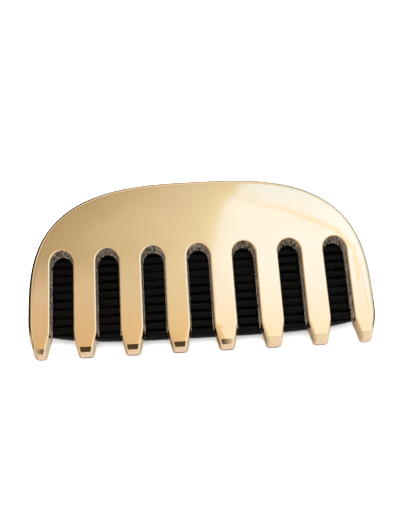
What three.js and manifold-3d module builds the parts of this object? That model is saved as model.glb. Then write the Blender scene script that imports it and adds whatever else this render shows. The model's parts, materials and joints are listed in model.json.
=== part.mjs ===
// Comb-faced alligator hair clip, millimetres.
// A cast toothed plate is the upper jaw. A broad sheet-metal jaw faced with a ribbed grip pad
// closes against its back. A bracket, pin, pair of torsion springs and thumb lever sit behind
// the plate's solid spine.
//
// Clip frame, before the clip is laid down: +X across the clip, +Y from the tooth tips to the
// spine, +Z out of the comb plate's front face, and z = 0 on that face. The whole clip is then
// leaned back about X, so that it lies on the jaw's lip and the thumb grip. The row's origin is
// the middle of its footprint on that surface.

import * as THREE from 'three';
import Module from 'manifold-3d';
import { mergeVertices } from 'three/addons/utils/BufferGeometryUtils.js';

// ---- driving dimensions -------------------------------------------------------------------

const TOOTH_COUNT = 8;
const TOOTH_PITCH = 8.7;
const SLOT_WIDTH = 4.0;            // at the plate's back; the front edge is eased wider
const SLOT_TOP_Y = -0.55;          // highest point of each slot's arch, at the plate's back
const SLOT_ARCH_RISE = 2.5;
const PLATE_HALF_WIDTH = 32.4;
const PLATE_WIDEST_Y = -13.5;
const PLATE_CROWN_HEIGHT = 27.0;   // from the widest line up to the crown
const PLATE_FOOT_DEPTH = 15.5;     // same curve continued below the widest line
const PLATE_CURVE_POWER = 2.93;    // superellipse: 2 is an ellipse, more is squarer
const PLATE_THICKNESS = 3.1;
const EDGE_EASE = 0.5;             // rounding of the front edges

const TIP_Y = -21.65;
const TIP_SHOULDER_Y = -17.4;      // where a tooth starts to taper
const TIP_HALF_WIDTH = 1.35;
const TIP_CORNER_RADIUS = 0.7;
const RIM_CORNER_RADIUS = 1.2;     // where the rim turns into an outer tooth's tip
const RIM_SHOULDER_Y = -19.0;
const RIM_TIP_INSET = 0.5;         // an outer tip is this much narrower, on its rim side
const TIP_SHOULDER_RADIUS = 6.0;   // the soft bend where the taper starts
const TIP_FACET_LENGTH = 1.1;      // flat cut across the front of each tip
const TIP_FACET_DEG = 24.4;

const GAP = 0.3;                   // between pieces that touch
const THROUGH = 40;                // reach of a cut that goes right through
const ROUND_STEPS = 24;            // sides of a turned piece
const SHEET = 0.8;                 // thickness of the pressed steel
const LEAN_DEG = 12.5;             // how far the clip leans back when it lies down

const PAD_HALF_WIDTH = 30.3;
const PAD_LOW_Y = -18.0;
const PAD_HIGH_Y = 1.2;
const PAD_BASE = 0.8;
const RIB_HEIGHT = 0.7;
const RIB_PITCH = 1.76;
const RIB_CREST_HALF = 0.39;       // half the width of a rib's flat crest
const RIB_FLANK = 0.28;            // width of each of its sloping sides
const PAD_LIP_RISE = 1.5;          // how far the lower lip rises at PAD_RISE_X
const PAD_RISE_X = 28;
const PAD_OVERHANG = 1.0;          // pad beyond the sheet-metal jaw, at the lip and the sides
const JAW_SHEET = 0.9;
const JAW_CORNER_RADIUS = 4.0;

const PIN_Y = 4.6;
const PIN_Z = -7.0;
const PIN_RADIUS = 1.0;
const PIN_PLAY = 0.1;
const PIN_HEAD_RADIUS = 1.7;
const PIN_HEAD_LENGTH = 0.8;
const COLLAR_LENGTH = 0.6;
const EAR_RADIUS = 2.3;

const BRACKET_HALF_WIDTH = 13.5;
const BRACKET_LOW_Y = 2.4;
const BRACKET_HIGH_Y = 11.4;
const BRACKET_EAR_FOOT = [2.4, 7.9];   // lowest and highest y of a bracket ear's foot

const LEVER_HALF_WIDTH = BRACKET_HALF_WIDTH - SHEET - GAP;
const LEVER_FOOT_Y = -9.0;
const LEVER_FOOT_END_Y = -0.8;
const LEVER_NECK_Y = 2.5;          // the web passes behind the springs from here
const LEVER_BEND_Y = 9.5;          // and runs level with the resting surface from here
const LEVER_END_Y = 17.0;
const LEVER_EAR_FOOT = [2.1, 8.9];
const LEVER_FOOT_RADIUS = 2.0;
const LEVER_THUMB_RADIUS = 5.0;
const LEVER_TRIM = 0.2;            // taken off the lever's square-cut ends
const THUMB_GRIP_THICKNESS = 1.2;
const THUMB_GRIP_HALF_WIDTH = 9.0;
const THUMB_GRIP_LENGTH = 6.2;
const THUMB_GRIP_END_Y = LEVER_END_Y - 1.0;

const RIVET_RADIUS = 0.7;
const RIVET_HEAD_RADIUS = 1.25;
const RIVET_HEAD_HEIGHT = 0.6;
const RIVET_PLAY = 0.2;
const BRACKET_RIVET_X = [-10.2, -3.4, 3.4, 10.2];
const BRACKET_RIVET_Y = 9.2;
const BRACKET_RIVET_REACH = 1.8;   // how far a bracket rivet enters the plate
const LEVER_RIVET_X = [-8.0, 0, 8.0];
const LEVER_RIVET_Y = -5.0;

const WIRE = 0.8;
const COIL_RADIUS = 1.75;          // to the middle of the wire
const COIL_TURNS = 3.5;
const COIL_PITCH = 1.0;
const COIL_INNER_X = 6.9;
const COIL_STEPS_PER_TURN = 16;
const WIRE_STEPS = 92;
const SLEEVE_HALF_LENGTH = 6.2;
const SLEEVE_RADIUS = 1.6;

// ---- sizes that follow --------------------------------------------------------------------

const LEAN = THREE.MathUtils.degToRad(LEAN_DEG);
const PLATE_BACK_Z = -PLATE_THICKNESS;
const PAD_FRONT_Z = PLATE_BACK_Z - GAP;
const PAD_BACK_Z = PAD_FRONT_Z - RIB_HEIGHT - PAD_BASE;
const JAW_FRONT_Z = PAD_BACK_Z - GAP;
const JAW_BACK_Z = JAW_FRONT_Z - JAW_SHEET;
const JAW_LOW_Y = PAD_LOW_Y + PAD_OVERHANG;
const BRACKET_FRONT_Z = PLATE_BACK_Z - GAP;
const BRACKET_BACK_Z = BRACKET_FRONT_Z - SHEET;
const PIN_HEAD_X = BRACKET_HALF_WIDTH + GAP;
const LEVER_FOOT_FRONT_Z = JAW_BACK_Z - GAP;
const COIL_OUTER_RADIUS = COIL_RADIUS + WIRE / 2;
const LEVER_NECK_Z = PIN_Z - COIL_OUTER_RADIUS - GAP - SHEET / 2;

// z of the surface the clip lies on, at a given y of the clip frame.
function floorZ(y) {
  return JAW_BACK_Z - (y - JAW_LOW_Y) * Math.tan(LEAN);
}

// ---- materials ----------------------------------------------------------------------------

function material(color, roughness, metalness) {
  return new THREE.MeshStandardMaterial({ color, roughness, metalness });
}

const gold = () => material('#c9a04e', 0.24, 1);
const nickel = () => material('#b9b6ae', 0.3, 1);
const springSteel = () => material('#8f8d88', 0.35, 1);
const blackRubber = () => material('#161616', 0.6, 0);
const blackPlastic = () => material('#1c1c1c', 0.45, 0);

// ---- solids -------------------------------------------------------------------------------

const wasm = await Module();
wasm.setup();

// A closed three.js geometry as a solid that can be cut and joined.
function solid(geometry) {
  const bare = new THREE.BufferGeometry();
  bare.setAttribute('position', geometry.getAttribute('position'));
  if (geometry.index) bare.setIndex(geometry.index);
  const merged = mergeVertices(bare, 1e-4);
  const mesh = new wasm.Mesh({
    numProp: 3,
    vertProperties: new Float32Array(merged.getAttribute('position').array),
    triVerts: new Uint32Array(merged.index.array),
  });
  return new wasm.Manifold(mesh);
}

function geometryOf(body) {
  const mesh = body.getMesh();
  const geometry = new THREE.BufferGeometry();
  geometry.setAttribute('position', new THREE.BufferAttribute(mesh.vertProperties, 3));
  geometry.setIndex(new THREE.BufferAttribute(mesh.triVerts, 1));
  geometry.computeVertexNormals();
  return geometry;
}

// An outline in the XY plane, made solid between two heights.
function slab(outline, zLow, zHigh) {
  const geometry = new THREE.ExtrudeGeometry(new THREE.Shape(outline), {
    depth: zHigh - zLow,
    bevelEnabled: false,
  });
  geometry.translate(0, 0, zLow);
  return solid(geometry);
}

// An outline of [y, z] points, made solid between two values of x.
function profileSolid(outline, xLow, xHigh) {
  const shape = new THREE.Shape(outline.map(([y, z]) => new THREE.Vector2(y, z)));
  const geometry = new THREE.ExtrudeGeometry(shape, { depth: xHigh - xLow, bevelEnabled: false });
  geometry.translate(0, 0, xLow);
  const axes = new THREE.Matrix4().makeBasis(
    new THREE.Vector3(0, 1, 0),
    new THREE.Vector3(0, 0, 1),
    new THREE.Vector3(1, 0, 0),
  );
  geometry.applyMatrix4(axes);
  return solid(geometry);
}

function box(low, high) {
  const size = high.map((value, i) => value - low[i]);
  const geometry = new THREE.BoxGeometry(...size);
  geometry.translate(...low.map((value, i) => value + size[i] / 2));
  return solid(geometry);
}

// A round solid about an axis through `at`: [radius, distance along the axis] points, from
// axis to axis.
function turned(profile, axis, at) {
  const points = profile.map(([radius, along]) => new THREE.Vector2(radius, along));
  const geometry = new THREE.LatheGeometry(points, ROUND_STEPS);
  const turn = new THREE.Quaternion().setFromUnitVectors(new THREE.Vector3(0, 1, 0), axis);
  geometry.applyQuaternion(turn);
  geometry.translate(...at);
  return solid(geometry);
}

function rod(radius, low, high, axis, at) {
  return turned([[0, low], [radius, low], [radius, high], [0, high]], axis, at);
}

const ALONG_X = new THREE.Vector3(1, 0, 0);
const ALONG_Z = new THREE.Vector3(0, 0, 1);
const PIN_AT = [0, PIN_Y, PIN_Z];

// A sheet of even thickness that follows [y, z] points down its middle.
function bentSheetOutline(middle, thickness) {
  const left = [];
  const right = [];
  middle.forEach((point, i) => {
    const before = middle[Math.max(i - 1, 0)];
    const after = middle[Math.min(i + 1, middle.length - 1)];
    const arriving = new THREE.Vector2(point[0] - before[0], point[1] - before[1]).normalize();
    const leaving = new THREE.Vector2(after[0] - point[0], after[1] - point[1]).normalize();
    const along = arriving.clone().add(leaving).normalize();
    const ends = i === 0 || i === middle.length - 1;
    const mitre = ends ? 1 : along.dot(leaving);
    const offset = thickness / 2 / mitre;
    left.push([point[0] - along.y * offset, point[1] + along.x * offset]);
    right.push([point[0] + along.y * offset, point[1] - along.x * offset]);
  });
  return [...right, ...left.reverse()];
}

// The arc that rounds a corner of an outline.
function roundedCorner(before, corner, after, radius, steps = 4) {
  const toBefore = before.clone().sub(corner).normalize();
  const toAfter = after.clone().sub(corner).normalize();
  const halfAngle = Math.acos(toBefore.dot(toAfter)) / 2;
  const reach = radius / Math.tan(halfAngle);
  const middle = toBefore.clone().add(toAfter).normalize();
  const centre = corner.clone().addScaledVector(middle, radius / Math.sin(halfAngle));
  const first = corner.clone().addScaledVector(toBefore, reach).sub(centre);
  const last = corner.clone().addScaledVector(toAfter, reach).sub(centre);
  const sweep = Math.atan2(first.cross(last), first.dot(last));
  const points = [];
  for (let i = 0; i <= steps; i++) {
    points.push(first.clone().rotateAround(new THREE.Vector2(), (sweep * i) / steps).add(centre));
  }
  return points;
}

// ---- comb plate ---------------------------------------------------------------------------

// The plate's outer edge at height y, as half its width.
function plateHalfWidth(y) {
  const reach = y > PLATE_WIDEST_Y ? PLATE_CROWN_HEIGHT : PLATE_FOOT_DEPTH;
  const part = Math.min(Math.abs(y - PLATE_WIDEST_Y) / reach, 1);
  return PLATE_HALF_WIDTH * (1 - part ** PLATE_CURVE_POWER) ** (1 / PLATE_CURVE_POWER);
}

// The outer edge from the right outer tooth, over the crown, to the left outer tooth.
function plateRim(lowY) {
  const right = [];
  const footSteps = 5;
  for (let i = 0; i < footSteps; i++) {
    const y = lowY + ((PLATE_WIDEST_Y - lowY) * i) / footSteps;
    right.push(new THREE.Vector2(plateHalfWidth(y), y));
  }
  const crownSteps = 30;
  const power = 2 / PLATE_CURVE_POWER;
  for (let i = 0; i < crownSteps; i++) {
    const angle = ((Math.PI / 2) * i) / crownSteps;
    const x = PLATE_HALF_WIDTH * Math.cos(angle) ** power;
    const y = PLATE_WIDEST_Y + PLATE_CROWN_HEIGHT * Math.sin(angle) ** power;
    right.push(new THREE.Vector2(x, y));
  }
  const crown = new THREE.Vector2(0, PLATE_WIDEST_Y + PLATE_CROWN_HEIGHT);
  const left = right.map((point) => new THREE.Vector2(-point.x, point.y)).reverse();
  return [...right, crown, ...left];
}

// The bend where a slot's straight wall runs into a tooth's taper, from the wall downwards.
function shoulder(corner, tip) {
  const above = new THREE.Vector2(corner.x, corner.y + TIP_SHOULDER_RADIUS);
  return roundedCorner(above, corner, tip, TIP_SHOULDER_RADIUS, 2);
}

// One tooth's end, from its left side to its right side. An outer tooth's side that continues
// the plate's rim has a plain shoulder and a wider corner.
function toothTip(centre, leftX, rightX) {
  const rimX = plateHalfWidth(RIM_SHOULDER_Y);
  const leftIsRim = leftX <= -rimX;
  const rightIsRim = rightX >= rimX;
  const shoulderLeft = new THREE.Vector2(leftX, leftIsRim ? RIM_SHOULDER_Y : TIP_SHOULDER_Y);
  const shoulderRight = new THREE.Vector2(rightX, rightIsRim ? RIM_SHOULDER_Y : TIP_SHOULDER_Y);
  const leftHalf = TIP_HALF_WIDTH - (leftIsRim ? RIM_TIP_INSET : 0);
  const rightHalf = TIP_HALF_WIDTH - (rightIsRim ? RIM_TIP_INSET : 0);
  const cornerLeft = new THREE.Vector2(centre - leftHalf, TIP_Y);
  const cornerRight = new THREE.Vector2(centre + rightHalf, TIP_Y);
  const leftRadius = leftIsRim ? RIM_CORNER_RADIUS : TIP_CORNER_RADIUS;
  const rightRadius = rightIsRim ? RIM_CORNER_RADIUS : TIP_CORNER_RADIUS;
  return [
    ...(leftIsRim ? [shoulderLeft] : shoulder(shoulderLeft, cornerLeft)),
    ...roundedCorner(shoulderLeft, cornerLeft, cornerRight, leftRadius),
    ...roundedCorner(cornerLeft, cornerRight, shoulderRight, rightRadius),
    ...(rightIsRim ? [shoulderRight] : shoulder(shoulderRight, cornerRight).reverse()),
  ];
}

// The arched top of the slot about x = centre, from its left wall to its right wall.
function slotArch(centre) {
  const steps = 12;
  const points = [];
  for (let i = 0; i <= steps; i++) {
    const angle = Math.PI * (1 - i / steps);
    const x = centre + (SLOT_WIDTH / 2) * Math.cos(angle);
    const y = SLOT_TOP_Y - SLOT_ARCH_RISE * (1 - Math.sin(angle));
    points.push(new THREE.Vector2(x, y));
  }
  return points;
}

function combOutline() {
  const points = plateRim(RIM_SHOULDER_Y);
  const firstCentre = (-(TOOTH_COUNT - 1) / 2) * TOOTH_PITCH;
  const halfTooth = (TOOTH_PITCH - SLOT_WIDTH) / 2;
  const rimX = plateHalfWidth(RIM_SHOULDER_Y);
  points.pop();
  for (let i = 0; i < TOOTH_COUNT; i++) {
    const centre = firstCentre + i * TOOTH_PITCH;
    const leftX = i === 0 ? -rimX : centre - halfTooth;
    const rightX = i === TOOTH_COUNT - 1 ? rimX : centre + halfTooth;
    points.push(...toothTip(centre, leftX, rightX));
    if (i < TOOTH_COUNT - 1) points.push(...slotArch(centre + TOOTH_PITCH / 2));
  }
  points.pop();
  return points;
}

// Takes the front of every tooth tip down to a flat facet.
function tipFacetCut() {
  const startY = TIP_Y + TIP_FACET_LENGTH;
  const endY = TIP_Y - GAP;
  const endZ = -(startY - endY) * Math.tan(THREE.MathUtils.degToRad(TIP_FACET_DEG));
  const profile = [[startY, 0], [startY, GAP], [endY, GAP], [endY, endZ]];
  return profileSolid(profile, -THROUGH, THROUGH);
}

// The front edges are eased. The back is cut square, so the same easing there is cut away.
function combPlate() {
  const geometry = new THREE.ExtrudeGeometry(new THREE.Shape(combOutline()), {
    depth: PLATE_THICKNESS - EDGE_EASE,
    bevelThickness: EDGE_EASE,
    bevelSize: EDGE_EASE,
    bevelOffset: -EDGE_EASE,
    bevelSegments: 2,
  });
  geometry.translate(0, 0, PLATE_BACK_Z);
  const behind = box([-THROUGH, -THROUGH, PLATE_BACK_Z - THROUGH], [THROUGH, THROUGH, PLATE_BACK_Z]);
  let plate = solid(geometry).subtract(behind).subtract(tipFacetCut());
  for (const x of BRACKET_RIVET_X) {
    const blindEnd = PLATE_BACK_Z + BRACKET_RIVET_REACH + GAP;
    plate = plate.subtract(rivetHole(x, BRACKET_RIVET_Y, -THROUGH, blindEnd));
  }
  return plate;
}

function rivetHole(x, y, zLow = -THROUGH, zHigh = THROUGH) {
  return rod(RIVET_RADIUS + RIVET_PLAY, zLow, zHigh, ALONG_Z, [x, y, 0]);
}

// ---- hinge bracket, pin and springs -------------------------------------------------------

// One hinge ear, as [y, z] points: straight sides from its foot to a round end about the pin.
function earOutline([footLowY, footHighY], footZ, towardsPlate) {
  const steps = 14;
  const start = towardsPlate ? Math.PI : 2 * Math.PI;
  const round = [];
  for (let i = 0; i <= steps; i++) {
    const angle = start + (Math.PI * i) / steps;
    round.push([PIN_Y + EAR_RADIUS * Math.cos(angle), PIN_Z + EAR_RADIUS * Math.sin(angle)]);
  }
  const feet = towardsPlate
    ? [[footHighY, footZ], [footLowY, footZ]]
    : [[footLowY, footZ], [footHighY, footZ]];
  return [...round, ...feet];
}

function pinHole() {
  return rod(PIN_RADIUS + PIN_PLAY, -THROUGH, THROUGH, ALONG_X, PIN_AT);
}

function hingeBracket() {
  let bracket = box(
    [-BRACKET_HALF_WIDTH, BRACKET_LOW_Y, BRACKET_BACK_Z],
    [BRACKET_HALF_WIDTH, BRACKET_HIGH_Y, BRACKET_FRONT_Z],
  );
  const earFootZ = (BRACKET_FRONT_Z + BRACKET_BACK_Z) / 2;
  const outline = earOutline(BRACKET_EAR_FOOT, earFootZ, true);
  for (const side of [-1, 1]) {
    const outer = side * BRACKET_HALF_WIDTH;
    const inner = side * (BRACKET_HALF_WIDTH - SHEET);
    bracket = bracket.add(profileSolid(outline, Math.min(inner, outer), Math.max(inner, outer)));
  }
  for (const x of BRACKET_RIVET_X) {
    bracket = bracket.subtract(rivetHole(x, BRACKET_RIVET_Y));
  }
  return bracket.subtract(pinHole());
}

// A rivet whose low domed head lies at the back and whose shank points to the front.
function rivet(x, y, headFrontZ, shank) {
  const profile = [
    [0, -RIVET_HEAD_HEIGHT],
    [RIVET_HEAD_RADIUS * 0.6, -RIVET_HEAD_HEIGHT * 0.92],
    [RIVET_HEAD_RADIUS, -RIVET_HEAD_HEIGHT * 0.4],
    [RIVET_HEAD_RADIUS, 0],
    [RIVET_RADIUS, 0],
    [RIVET_RADIUS, shank],
    [0, shank],
  ];
  return turned(profile, ALONG_Z, [x, y, headFrontZ]);
}

// The pin's head is on the left. Its right end stands a little out of the collar.
function hingePin() {
  const profile = [
    [0, -PIN_HEAD_X - PIN_HEAD_LENGTH],
    [PIN_HEAD_RADIUS * 0.7, -PIN_HEAD_X - PIN_HEAD_LENGTH],
    [PIN_HEAD_RADIUS, -PIN_HEAD_X - PIN_HEAD_LENGTH / 2],
    [PIN_HEAD_RADIUS, -PIN_HEAD_X],
    [PIN_RADIUS, -PIN_HEAD_X],
    [PIN_RADIUS, PIN_HEAD_X + PIN_HEAD_LENGTH],
    [0, PIN_HEAD_X + PIN_HEAD_LENGTH],
  ];
  return turned(profile, ALONG_X, PIN_AT);
}

// A ring about the pin, between two values of x.
function pinRing(radius, xLow, xHigh) {
  return rod(radius, xLow, xHigh, ALONG_X, PIN_AT).subtract(pinHole());
}

// Torsion spring: a straight leg on the bracket, the coil, and a straight leg on the lever.
function torsionSpring(side) {
  const points = [];
  const place = (along, y, z) => points.push(new THREE.Vector3(side * along, y, z));
  const fixedLegEnd = [BRACKET_HIGH_Y - 1, BRACKET_BACK_Z - WIRE / 2 - GAP / 2];
  const leverLegEnd = [LEVER_BEND_Y, LEVER_NECK_Z + SHEET / 2 + WIRE / 2 + GAP / 2];
  const legSteps = 4;
  for (let i = 0; i < legSteps; i++) {
    const part = i / legSteps;
    const y = THREE.MathUtils.lerp(fixedLegEnd[0], PIN_Y, part);
    const z = THREE.MathUtils.lerp(fixedLegEnd[1], PIN_Z + COIL_RADIUS, part);
    place(COIL_INNER_X, y, z);
  }
  const coilSteps = COIL_TURNS * COIL_STEPS_PER_TURN;
  for (let i = 0; i <= coilSteps; i++) {
    const turns = (COIL_TURNS * i) / coilSteps;
    const angle = Math.PI / 2 + 2 * Math.PI * turns;
    const y = PIN_Y + COIL_RADIUS * Math.cos(angle);
    const z = PIN_Z + COIL_RADIUS * Math.sin(angle);
    place(COIL_INNER_X + COIL_PITCH * turns, y, z);
  }
  for (let i = 1; i <= legSteps; i++) {
    const part = i / legSteps;
    const y = THREE.MathUtils.lerp(PIN_Y, leverLegEnd[0], part);
    const z = THREE.MathUtils.lerp(PIN_Z - COIL_RADIUS, leverLegEnd[1], part);
    place(COIL_INNER_X + COIL_PITCH * COIL_TURNS, y, z);
  }
  const section = new THREE.Shape();
  section.absarc(0, 0, WIRE / 2, 0, 2 * Math.PI);
  const geometry = new THREE.ExtrudeGeometry(section, {
    steps: WIRE_STEPS,
    curveSegments: 4,
    bevelEnabled: false,
    extrudePath: new THREE.CatmullRomCurve3(points),
  });
  return solid(geometry);
}

// ---- jaw, grip pad and thumb lever --------------------------------------------------------

// The broad jaw's outline: straight at the hinge side, gently bowed at the lip.
function jawOutline(halfWidth, lowY, highY) {
  const steps = 24;
  const sideSteps = 5;
  const lip = (x) => lowY + PAD_LIP_RISE * Math.abs(x / PAD_RISE_X) ** 4;
  const points = [];
  for (let i = 0; i <= steps; i++) {
    const x = (halfWidth - JAW_CORNER_RADIUS / 2) * (-1 + (2 * i) / steps);
    points.push(new THREE.Vector2(x, lip(x)));
  }
  const top = new THREE.Vector2(halfWidth, highY);
  const cornerBelow = new THREE.Vector2(halfWidth, lip(halfWidth));
  points.push(new THREE.Vector2(halfWidth, cornerBelow.y + JAW_CORNER_RADIUS / 2));
  const crown = roundedCorner(cornerBelow, top, new THREE.Vector2(0, highY), JAW_CORNER_RADIUS, sideSteps);
  points.push(...crown);
  points.push(...crown.map((point) => new THREE.Vector2(-point.x, point.y)).reverse());
  points.push(new THREE.Vector2(-halfWidth, cornerBelow.y + JAW_CORNER_RADIUS / 2));
  return points;
}

// The pad's ribs run across the clip. Their crests face the comb plate.
function gripPad() {
  const ribHalf = RIB_CREST_HALF + RIB_FLANK;
  const valleyZ = PAD_BACK_Z + PAD_BASE;
  const lowY = PAD_LOW_Y - GAP;
  const highY = PAD_HIGH_Y + GAP;
  const profile = [[lowY, PAD_BACK_Z], [highY, PAD_BACK_Z], [highY, valleyZ]];
  const ribCount = Math.floor((PAD_HIGH_Y - PAD_LOW_Y) / RIB_PITCH);
  for (let i = ribCount - 1; i >= 0; i--) {
    const y = PAD_LOW_Y + RIB_PITCH * (i + 0.5);
    profile.push([y + ribHalf, valleyZ], [y + RIB_CREST_HALF, PAD_FRONT_Z]);
    profile.push([y - RIB_CREST_HALF, PAD_FRONT_Z], [y - ribHalf, valleyZ]);
  }
  profile.push([lowY, valleyZ]);
  const ribbed = profileSolid(profile, -THROUGH, THROUGH);
  const outline = jawOutline(PAD_HALF_WIDTH, PAD_LOW_Y, PAD_HIGH_Y);
  return ribbed.intersect(slab(outline, PAD_BACK_Z - GAP, PAD_FRONT_Z + GAP));
}

function jawPlate() {
  const outline = jawOutline(PAD_HALF_WIDTH - PAD_OVERHANG, JAW_LOW_Y, PAD_HIGH_Y);
  let jaw = slab(outline, JAW_BACK_Z, JAW_FRONT_Z);
  for (const x of LEVER_RIVET_X) {
    jaw = jaw.subtract(rivetHole(x, LEVER_RIVET_Y));
  }
  return jaw;
}

// z of the middle of the lever's web, along the stretch that lies level with the floor.
function leverTabZ(y) {
  const lift = (THUMB_GRIP_THICKNESS + GAP + SHEET / 2) / Math.cos(LEAN);
  return floorZ(y) + lift;
}

function thumbLever() {
  const middle = [
    [LEVER_FOOT_Y, LEVER_FOOT_FRONT_Z - SHEET / 2],
    [LEVER_FOOT_END_Y, LEVER_FOOT_FRONT_Z - SHEET / 2],
    [LEVER_NECK_Y, LEVER_NECK_Z],
    [LEVER_BEND_Y, leverTabZ(LEVER_BEND_Y)],
    [LEVER_END_Y, leverTabZ(LEVER_END_Y)],
  ];
  let lever = profileSolid(bentSheetOutline(middle, SHEET), -LEVER_HALF_WIDTH, LEVER_HALF_WIDTH);
  const ear = earOutline(LEVER_EAR_FOOT, LEVER_NECK_Z, false);
  for (const side of [-1, 1]) {
    const outer = side * LEVER_HALF_WIDTH;
    const inner = side * (LEVER_HALF_WIDTH - SHEET);
    lever = lever.add(profileSolid(ear, Math.min(inner, outer), Math.max(inner, outer)));
  }
  for (const x of LEVER_RIVET_X) {
    lever = lever.subtract(rivetHole(x, LEVER_RIVET_Y));
  }
  return lever.subtract(pinHole()).intersect(slab(leverPlan(), -THROUGH, THROUGH));
}

// The lever from above: a rounded foot and a rounded thumb end.
function leverPlan() {
  const high = LEVER_END_Y - LEVER_TRIM;
  const low = LEVER_FOOT_Y + LEVER_TRIM;
  const half = LEVER_HALF_WIDTH + LEVER_TRIM / 2;
  const corners = [
    [new THREE.Vector2(half, low), LEVER_FOOT_RADIUS],
    [new THREE.Vector2(half, high), LEVER_THUMB_RADIUS],
    [new THREE.Vector2(-half, high), LEVER_THUMB_RADIUS],
    [new THREE.Vector2(-half, low), LEVER_FOOT_RADIUS],
  ];
  return corners.flatMap(([corner, radius], i) => {
    const before = corners[(i + corners.length - 1) % corners.length][0];
    const after = corners[(i + 1) % corners.length][0];
    return roundedCorner(before, corner, after, radius, 6);
  });
}

// The thumb grip lies flat under the lever's tab; its outer face is the clip's rear foot.
function thumbGrip() {
  const endY = THUMB_GRIP_END_Y;
  const startY = endY - THUMB_GRIP_LENGTH;
  const lift = THUMB_GRIP_THICKNESS / Math.cos(LEAN);
  const profile = [
    [startY, floorZ(startY)],
    [endY, floorZ(endY)],
    [endY, floorZ(endY) + lift],
    [startY, floorZ(startY) + lift],
  ];
  return profileSolid(profile, -THUMB_GRIP_HALF_WIDTH, THUMB_GRIP_HALF_WIDTH);
}

// ---- assembly -----------------------------------------------------------------------------

const clip = new THREE.Group();

function place(name, body, look) {
  const mesh = new THREE.Mesh(geometryOf(body), look);
  mesh.name = name;
  clip.add(mesh);
}

place('comb_plate', combPlate(), gold());
place('hinge_bracket', hingeBracket(), nickel());
BRACKET_RIVET_X.forEach((x, i) => {
  const shank = GAP + SHEET + GAP + BRACKET_RIVET_REACH;
  const body = rivet(x, BRACKET_RIVET_Y, BRACKET_BACK_Z - GAP, shank);
  place(`bracket_rivet_${i + 1}`, body, nickel());
});
place('hinge_pin', hingePin(), nickel());
place('pin_collar', pinRing(PIN_HEAD_RADIUS, PIN_HEAD_X, PIN_HEAD_X + COLLAR_LENGTH), nickel());
place('spring_sleeve', pinRing(SLEEVE_RADIUS, -SLEEVE_HALF_LENGTH, SLEEVE_HALF_LENGTH), blackPlastic());
place('spring_left', torsionSpring(-1), springSteel());
place('spring_right', torsionSpring(1), springSteel());
place('jaw_plate', jawPlate(), nickel());
place('grip_pad', gripPad(), blackRubber());
place('thumb_lever', thumbLever(), nickel());
LEVER_RIVET_X.forEach((x, i) => {
  const headFrontZ = LEVER_FOOT_FRONT_Z - SHEET - GAP;
  const body = rivet(x, LEVER_RIVET_Y, headFrontZ, JAW_FRONT_Z - headFrontZ);
  place(`lever_rivet_${i + 1}`, body, nickel());
});
place('thumb_grip', thumbGrip(), blackRubber());

clip.rotation.x = LEAN;
const part = new THREE.Group();
part.add(clip);
part.updateMatrixWorld(true);
const bounds = new THREE.Box3().setFromObject(part, true);
const footprint = bounds.getCenter(new THREE.Vector3());
clip.position.set(-footprint.x, -footprint.y, -bounds.min.z);

export default part;
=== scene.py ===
"""The looks of a comb-faced alligator hair clip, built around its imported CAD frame.

Lengths are millimetres in the clip frame, where the comb plate's front face is z = 0, +X runs
across the clip and +Y from the tooth tips to the spine. clip_point() takes them to the row
frame, in metres, where the clip leans back and lies on its jaw lip and thumb grip.
"""

import json
import math

import bmesh
import bpy
import numpy as np
from mathutils import Matrix, Vector


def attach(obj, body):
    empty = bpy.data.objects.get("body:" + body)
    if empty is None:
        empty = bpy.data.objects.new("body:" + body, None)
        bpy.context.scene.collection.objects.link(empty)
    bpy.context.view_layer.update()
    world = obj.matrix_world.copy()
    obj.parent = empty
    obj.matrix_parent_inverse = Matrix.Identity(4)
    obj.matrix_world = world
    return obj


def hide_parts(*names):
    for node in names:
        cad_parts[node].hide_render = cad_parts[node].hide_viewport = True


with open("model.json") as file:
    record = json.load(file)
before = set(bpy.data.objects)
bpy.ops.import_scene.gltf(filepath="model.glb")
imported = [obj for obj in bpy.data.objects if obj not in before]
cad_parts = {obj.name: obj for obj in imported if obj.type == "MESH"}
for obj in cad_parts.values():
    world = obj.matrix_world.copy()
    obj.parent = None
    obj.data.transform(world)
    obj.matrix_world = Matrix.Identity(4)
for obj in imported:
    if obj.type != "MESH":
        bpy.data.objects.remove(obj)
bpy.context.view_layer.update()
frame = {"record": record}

# ---- sizes shared with the CAD ----

MM = 0.001
LEAN = math.radians(12.5)
PIN = Vector((0, 4.6, -7.0))
PIN_RADIUS = 1.0
GAP = 0.3
SHEET = 0.8

TOOTH_COUNT = 8
TOOTH_PITCH = 8.7
SLOT_WIDTH = 4.0
SLOT_TOP_Y = -0.55
SLOT_ARCH_RISE = 2.5
PLATE_HALF_WIDTH = 32.4
PLATE_WIDEST_Y = -13.5
PLATE_CROWN_HEIGHT = 27.0
PLATE_FOOT_DEPTH = 15.5
PLATE_CURVE_POWER = 2.93
PLATE_BACK_Z = -3.1
TIP_Y = -21.65
TIP_SHOULDER_Y = -17.4
TIP_HALF_WIDTH = 1.35
TIP_CORNER_RADIUS = 0.7
RIM_CORNER_RADIUS = 1.2
RIM_SHOULDER_Y = -19.0
RIM_TIP_INSET = 0.5
TIP_SHOULDER_RADIUS = 6.0
TIP_FACET_Y = TIP_Y + 1.1
TIP_FACET_SLOPE = math.tan(math.radians(24.4))
TIP_ROLL = (0.1, 0.7)
EASE_SLOT = (0.36, 0.36)
EASE_RIM = (1.05, 0.9)
EASE_ARCH = (0.18, 0.2)
SLOT_DRAFT = 0.08
SLOT_LIP = (0.09, 0.14)
BACK_BREAK = 0.16

PAD_HALF_WIDTH = 30.3
PAD_LOW_Y = -18.0
PAD_HIGH_Y = 1.2
PAD_BASE = 0.8
PAD_LIP_RISE = 1.5
PAD_RISE_X = 28.0
PAD_OVERHANG = 1.0
RIB_HEIGHT = 0.7
RIB_PITCH = 1.76
JAW_SHEET = 0.9

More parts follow.
